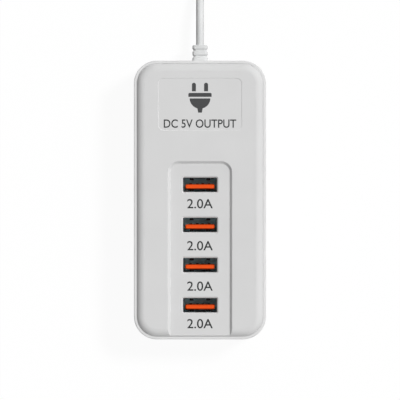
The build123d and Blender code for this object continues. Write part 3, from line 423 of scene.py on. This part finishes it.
def paint_cord():
    """The strain relief, the cord, its tie and the plug."""
    pin_nickel = plated("pin_nickel", linear(208, 204, 196), rough=(0.15, 0.28), stretch=ALONG_Y)
    paint(sheath(), "strain_relief", "cord_lead", "cord_coil", "cord_tail")
    paint(strap(), "coil_tie")
    paint(moulded("plug_plastic", linear(208, 210, 209)), "plug_body")
    paint(pin_nickel, "plug_pins")
    paint(moulded("pin_sleeve", linear(34, 34, 36), rough=(0.4, 0.55)), "plug_sleeves")


def paint_board():
    """The board, the wires to it and the parts on it."""
    wire_rough = (0.3, 0.4)
    disc_rough = (0.2, 0.3)
    can_sleeve = moulded("can_sleeve", linear(44, 52, 92), rough=(0.25, 0.35), depth=0.002 * MM)
    disc_coating = moulded("disc_coating", linear(58, 104, 176), disc_rough, grain=1200.0, depth=0.01 * MM)
    chip_plastic = moulded("chip_plastic", linear(38, 38, 40), rough=(0.5, 0.65))
    ferrite = moulded("ferrite", linear(62, 62, 64), grain=2600.0, spread=0.15)
    winding_tape = banded("winding_tape", linear(226, 190, 62), scale=260.0, axis="Y")
    copper_wire = banded("copper_wire", linear(190, 112, 62), scale=420.0, axis="Z", metallic=1.0)
    paint(circuit_mask(), "circuit_board")
    paint(moulded("wire_brown", linear(104, 62, 36), wire_rough), "live_wire")
    paint(moulded("wire_blue", linear(40, 92, 178), wire_rough), "neutral_wire")
    paint(ferrite, "transformer_core", "choke_core")
    paint(moulded("bobbin_black", linear(36, 36, 37)), "transformer_bobbin")
    paint(winding_tape, "transformer_winding")
    paint(copper_wire, "choke_winding")
    paint(can_sleeve, "bulk_capacitor", "output_capacitors")
    paint(moulded("film_box", linear(226, 186, 66)), "x_capacitor")
    paint(moulded("fuse_body", linear(86, 52, 38)), "fuse")
    paint(disc_coating, "y_capacitor")
    paint(chip_plastic, "bridge_rectifier", "controller_chip", "optocoupler")
    paint(chip_plastic, "output_rectifier", "port_chips")


def add_piece(name, data):
    """A piece of the object, on its one body."""
    piece = bpy.data.objects.new(name, data)
    scene.collection.objects.link(piece)
    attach(piece, "root")
    return piece


def add_like(name, mesh, node):
    """A rigid piece in the material of a CAD node."""
    mesh.materials.append(nodes[node].data.materials[0])
    add_piece(name, mesh)


def coil_point(turned_deg, corner):
    """Point of the coil's line after that turn; corner lifts it to where the line's control point stands."""
    layer = min(int(turned_deg // LAYER_DEG), COIL_LAYERS - 1)
    span = LAST_LAYER_DEG if layer == COIL_LAYERS - 1 else LAYER_DEG
    share = (turned_deg - layer * LAYER_DEG) / span
    if layer % 2:
        share = 1 - share
    radius = (COIL_OUTER_R - share * (COIL_OUTER_R - COIL_INNER_R)) / corner
    height = float(layer)
    step = round(turned_deg / LAYER_DEG)
    if 0 < step < COIL_LAYERS and abs(turned_deg - step * LAYER_DEG) < CLIMB_DEG:
        rise = (turned_deg - step * LAYER_DEG + CLIMB_DEG) / (2 * CLIMB_DEG)
        height = step - 1 + rise * rise * (3 - 2 * rise)
    z = COIL_LOW_Z + height * (COIL_HIGH_Z - COIL_LOW_Z) / (COIL_LAYERS - 1)
    angle = math.radians(COIL_START_DEG + turned_deg)
    return (COIL_CENTRE[0] + radius * math.cos(angle), COIL_CENTRE[1] + radius * math.sin(angle), z)


def cord_points():
    """The route: out of the strain relief, round the coil and on to the plug."""
    step = (LAYER_DEG * (COIL_LAYERS - 1) + LAST_LAYER_DEG) / COIL_STEPS
    corner = math.cos(math.radians(step / 2))
    turns = [Vector(coil_point((i + 0.5) * step, corner)) for i in range(COIL_STEPS)]
    run_in = turns[0] - Vector(LEAD_POINTS[-1])
    before = turns[0] - run_in.normalized() * (turns[1] - turns[0]).length
    run_out = Vector(TAIL_POINTS[0]) - turns[-1]
    after = turns[-1] + run_out.normalized() * (turns[-1] - turns[-2]).length
    return [*LEAD_POINTS, before, *turns, after, *TAIL_POINTS]


def add_cord():
    """The mains cord on one smooth line."""
    points = cord_points()
    curve = bpy.data.curves.new("mains_cord", "CURVE")
    curve.dimensions = "3D"
    spline = curve.splines.new("NURBS")
    spline.points.add(len(points) - 1)
    for point, place in zip(spline.points, points):
        point.co = (*place, 1.0)
    spline.order_u = 3
    spline.use_endpoint_u = True
    spline.resolution_u = 6
    curve.bevel_depth = CORD_R
    curve.bevel_resolution = 5
    curve.use_fill_caps = True
    curve.materials.append(nodes["strain_relief"].data.materials[0])
    cord = add_piece("mains_cord", curve)
    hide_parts("cord_lead", "cord_coil", "cord_tail")


def solid_between(name, pairs):
    """Mesh of closed solids, each between two outlines with as many points."""
    vertices = []
    faces = []
    for near, far in pairs:
        count = len(near)
        ring = list(range(len(vertices), len(vertices) + count))
        vertices += [*near, *far]
        faces += [ring[::-1], [i + count for i in ring]]
        faces += [(a, b, b + count, a + count) for a, b in zip(ring, [*ring[1:], ring[0]])]
    mesh = bpy.data.meshes.new(name)
    mesh.from_pydata(vertices, [], faces)
    return mesh


def add_tongue_tips():
    """The closed tip of each tongue, which bridges the contact grooves in front of the contacts' ends."""
    for number in PORTS:
        name = f"tongue_tip_{number}"
        tongue = f"usb_insulator_{number}"
        low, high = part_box(tongue)
        face_y = (low[1] + high[1]) / 2 + TONGUE_FACE
        tip_z = high[2]
        profile = [
            (face_y - GROOVE_DEPTH, tip_z - TIP_L),
            (face_y, tip_z - TIP_L),
            (face_y, tip_z - TIP_CHAMFER),
            (face_y - TIP_CHAMFER, tip_z),
            (face_y - GROOVE_DEPTH, tip_z),
        ]
        pairs = []
        for middle in CONTACT_XS:
            sides = (middle - GROOVE_W / 2, middle + GROOVE_W / 2)
            pairs.append([[(x, y, z) for y, z in profile] for x in sides])
        add_like(name, solid_between(name, pairs), tongue)


def arc(x, y, radius, start_deg, end_deg, steps=16):
    """Points along an arc."""
    angles = [math.radians(start_deg + (end_deg - start_deg) * i / steps) for i in range(steps + 1)]
    return [(x + radius * math.cos(a), y + radius * math.sin(a)) for a in angles]


def label_outline(inset, z):
    """The label recess's outline, drawn in by inset, at a height."""
    across = LABEL_SIZE[0] / 2 - LABEL_CORNER_R
    along = LABEL_SIZE[1] / 2 - LABEL_CORNER_R
    corners = [(across, along), (-across, along), (-across, -along), (across, -along)]
    points = []
    for quarter, (x, y) in enumerate(corners):
        points += arc(x, LABEL_Y + y, LABEL_CORNER_R - inset, quarter * 90, quarter * 90 + 90)
    return [(x, y, z) for x, y in points]


def add_inlay():
    """Bare inlay that fills the lower part of the label recess and carries the print."""
    face_inset = LABEL_SLOPE * INLAY_DEPTH / LABEL_DEPTH - INLAY_LAP
    foot = label_outline(LABEL_SLOPE, cover_top_z - LABEL_DEPTH)
    face = label_outline(face_inset, cover_top_z - INLAY_DEPTH)
    add_like("label_inlay", solid_between("label_inlay", [(foot, face)]), "top_cover")


def filled(curve):
    """Mesh of a curve's filled outlines."""
    holder = bpy.data.objects.new(curve.name, curve)
    scene.collection.objects.link(holder)
    bpy.context.view_layer.update()
    mesh = bpy.data.meshes.new_from_object(holder.evaluated_get(bpy.context.evaluated_depsgraph_get()))
    bpy.data.objects.remove(holder)
    return mesh


def letters(text, weight):
    """Flat mesh of a line of print."""
    curve = bpy.data.curves.new("letters", "FONT")
    curve.body = text
    curve.extrude = DRAWN_RISE
    curve.offset = weight
    curve.resolution_u = 6
    return filled(curve)


def outlines(shapes):
    """Flat mesh of filled outlines."""
    curve = bpy.data.curves.new("outlines", "CURVE")
    curve.dimensions = "2D"
    curve.fill_mode = "BOTH"
    curve.extrude = DRAWN_RISE
    for shape in shapes:
        spline = curve.splines.new("POLY")
        spline.points.add(len(shape) - 1)
        for point, (x, y) in zip(spline.points, shape):
            point.co = (x, y, 0.0, 1.0)
        spline.use_cyclic_u = True
    return filled(curve)


def plug_symbol():
    """Plain sign of a two-pin plug: pins, head, cup and cord, in units of its own."""
    pin_x, pin_r, pin_low, pin_high = 2.3, 0.75, 2.5, 5.0
    head_x, head_y, head_r, head_low = 3.9, 1.4, 0.5, 0.4
    cup_r, cup_y, cup_deg = 3.9, -0.2, 75
    cord_x, cord_low = 0.7, -5.6
    pins = []
    for x in (-pin_x, pin_x):
        pins.append([(x - pin_r, pin_low), (x + pin_r, pin_low), *arc(x, pin_high, pin_r, 0, 180)])
    head = [
        *arc(head_x, head_y, head_r, 90, 0, steps=4),
        (head_x + head_r, head_low),
        (-head_x - head_r, head_low),
        *arc(-head_x, head_y, head_r, 180, 90, steps=4),
    ]
    cup = [
        *arc(0.0, cup_y, cup_r, 0, -cup_deg),
        (cord_x, cord_low),
        (-cord_x, cord_low),
        *arc(0.0, cup_y, cup_r, cup_deg - 180, -180),
    ]
    return outlines([*pins, head, cup])


def lay_print(name, mesh, material, size, y, z):
    """Fit flat print to a width and height about a place on the cover's middle line."""
    mesh.materials.clear()
    mesh.materials.append(material)
    low = [min(v.co[i] for v in mesh.vertices) for i in range(3)]
    high = [max(v.co[i] for v in mesh.vertices) for i in range(3)]
    middle = [(a + b) / 2 for a, b in zip(low, high)]
    for v in mesh.vertices:
        across = (v.co.x - middle[0]) * size[0] / (high[0] - low[0])
        along = (v.co.y - middle[1]) * size[1] / (high[1] - low[1])
        rise = PRINT_RISE if v.co.z > middle[2] else -PRINT_SINK
        v.co = (across, y + along, z + rise)
    add_piece(name, mesh)


def add_print():
    """A rating under each port, and a line of words and a sign on the label."""
    letter_ink = ink("letter_ink", linear(40, 42, 43))
    symbol_ink = ink("symbol_ink", linear(64, 65, 66))
    label_z = cover_top_z - INLAY_DEPTH
    for number, y in zip(PORTS, RATING_YS):
        rating = letters(RATING, RATING_WEIGHT)
        lay_print(f"port_label_{number}", rating, letter_ink, RATING_SIZE, y, panel_z)
    lay_print("output_words", letters(WORDS, WORDS_WEIGHT), letter_ink, WORDS_SIZE, WORDS_Y, label_z)
    lay_print("plug_symbol", plug_symbol(), symbol_ink, SYMBOL_SIZE, SYMBOL_Y, label_z)


def floor_white():
    """White that glows where it is seen, but keeps a soft shadow, and gives little back to the object."""
    material = bpy.data.materials.new("floor_white")
    material.use_nodes = True
    tree = material.node_tree
    tree.nodes.clear()
    seen = seen_white(tree)
    matt = tree.nodes.new("ShaderNodeBsdfDiffuse")
    feed(tree, matt.inputs["Color"], between(tree, seen, FLOOR_BOUNCE, FLOOR_SEEN))
    glow = tree.nodes.new("ShaderNodeEmission")
    glow.inputs["Strength"].default_value = 1.0
    mix = tree.nodes.new("ShaderNodeMixShader")
    feed(tree, mix.inputs["Fac"], calculate(tree, "MULTIPLY", seen, FLOOR_GLOW))
    feed(tree, mix.inputs[1], matt.outputs["BSDF"])
    feed(tree, mix.inputs[2], glow.outputs["Emission"])
    output = tree.nodes.new("ShaderNodeOutputMaterial")
    feed(tree, output.inputs["Surface"], mix.outputs["Shader"])
    return material


def add_floor():
    """The floor, a little below the object's underside."""
    corners = [(-1, -1), (1, -1), (1, 1), (-1, 1)]
    mesh = bpy.data.meshes.new("floor")
    mesh.from_pydata([(x * FLOOR_REACH, y * FLOOR_REACH, FLOOR_Z) for x, y in corners], [], [(0, 1, 2, 3)])
    mesh.materials.append(floor_white())
    floor = bpy.data.objects.new("floor", mesh)
    scene.collection.objects.link(floor)


def add_sun():
    """One soft sun from the right and the rear."""
    lamp = bpy.data.lights.new("sun", "SUN")
    lamp.energy = SUN_STRENGTH
    lamp.angle = math.radians(SUN_ANGLE_DEG)
    sun = bpy.data.objects.new("sun", lamp)
    sun.rotation_mode = "QUATERNION"
    sun.rotation_quaternion = Vector(SUN_FROM).to_track_quat("Z", "Y")
    scene.collection.objects.link(sun)


def add_sky():
    """Sky that is brighter to the right, the front and the rear, and that is seen as white."""
    world = bpy.data.worlds.new("sky")
    world.use_nodes = True
    tree = world.node_tree
    way = components(tree, tree.nodes.new("ShaderNodeTexCoord").outputs["Generated"])
    ends = calculate(tree, "MULTIPLY", way["Y"], way["Y"])
    side = calculate(tree, "MULTIPLY_ADD", way["X"], SKY_SIDE, SKY)
    level = calculate(tree, "MULTIPLY_ADD", ends, SKY_ENDS, side)
    sky = tree.nodes["Background"]
    sky.inputs["Color"].default_value = WHITE
    feed(tree, sky.inputs["Strength"], between(tree, seen_white(tree), level, 1.0))
    scene.world = world


def add_camera():
    """Straight down, with a long lens, at the photograph's scale."""
    data = bpy.data.cameras.new("camera")
    data.lens = LENS_MM
    data.sensor_width = SENSOR_MM
    camera = bpy.data.objects.new("camera", data)
    camera.location = (0.0, 0.0, rim_z + PICTURE_WIDTH * LENS_MM / SENSOR_MM)
    scene.collection.objects.link(camera)
    scene.camera = camera


paint_housing()
paint_cord()
paint_board()
add_cord()
add_tongue_tips()
add_inlay()
add_print()
add_floor()
add_sun()
add_sky()
add_camera()
scene.view_settings.view_transform = "Standard"
